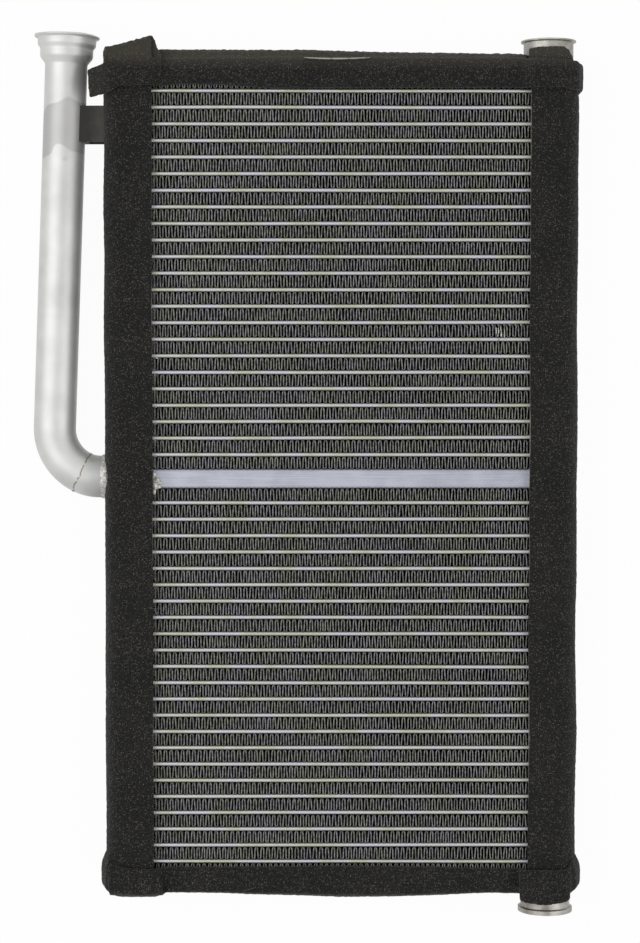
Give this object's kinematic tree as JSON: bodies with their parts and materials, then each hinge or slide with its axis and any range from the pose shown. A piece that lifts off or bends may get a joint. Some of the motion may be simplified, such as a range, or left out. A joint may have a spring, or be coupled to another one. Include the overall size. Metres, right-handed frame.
{
  "type": "heater core",
  "caption": "Flat brazed aluminium heat exchanger with finned flat tubes, foam-taped edges, a side inlet pipe and a round outlet port.",
  "frame": {"origin": "bottom centre of the part's own box, as it lies on its back on the four corners of its foam tape", "axes": "+X across the core along its tubes, +Y along the headers towards the two ports, +Z out of the front face"},
  "size_m": [0.2078, 0.3326, 0.0279],
  "materials": {
    "tube_aluminium": "brazed mill finish, pale silver",
    "fin_aluminium": "thin rolled strip, dull grey after brazing",
    "bar_aluminium": "smooth rolled sheet, pale bluish grey",
    "header_aluminium": "stamped and brazed, satin",
    "pipe_aluminium": "drawn tube, satin with water stains",
    "braze_filler": "matt melted filler with flux bloom",
    "bracket_sheet": "dark oxidised satin",
    "foam_tape": "open-cell polyurethane foam, charcoal black"
  },
  "bodies": {
    "root": {"upper_tubes": "tube_aluminium", "lower_tubes": "tube_aluminium", "upper_fins": "fin_aluminium", "lower_fins": "fin_aluminium", "top_channel": "bar_aluminium", "bottom_channel": "bar_aluminium", "centre_bar": "bar_aluminium", "left_header_plate": "header_aluminium", "right_header_plate": "header_aluminium", "left_header_tank": "header_aluminium", "right_header_tank": "header_aluminium", "left_top_cap": "header_aluminium", "left_bottom_cap": "header_aluminium", "outlet_collar": "header_aluminium", "lower_collar": "header_aluminium", "lower_plug": "header_aluminium", "inlet_pipe": "pipe_aluminium", "inlet_stub": "pipe_aluminium", "stub_weld_bead": "braze_filler", "pipe_braze_ring": "braze_filler", "pipe_bracket": "bracket_sheet", "foam_left": "foam_tape", "foam_right": "foam_tape", "foam_top": "foam_tape", "foam_bottom": "foam_tape"}
  },
  "joints": []
}
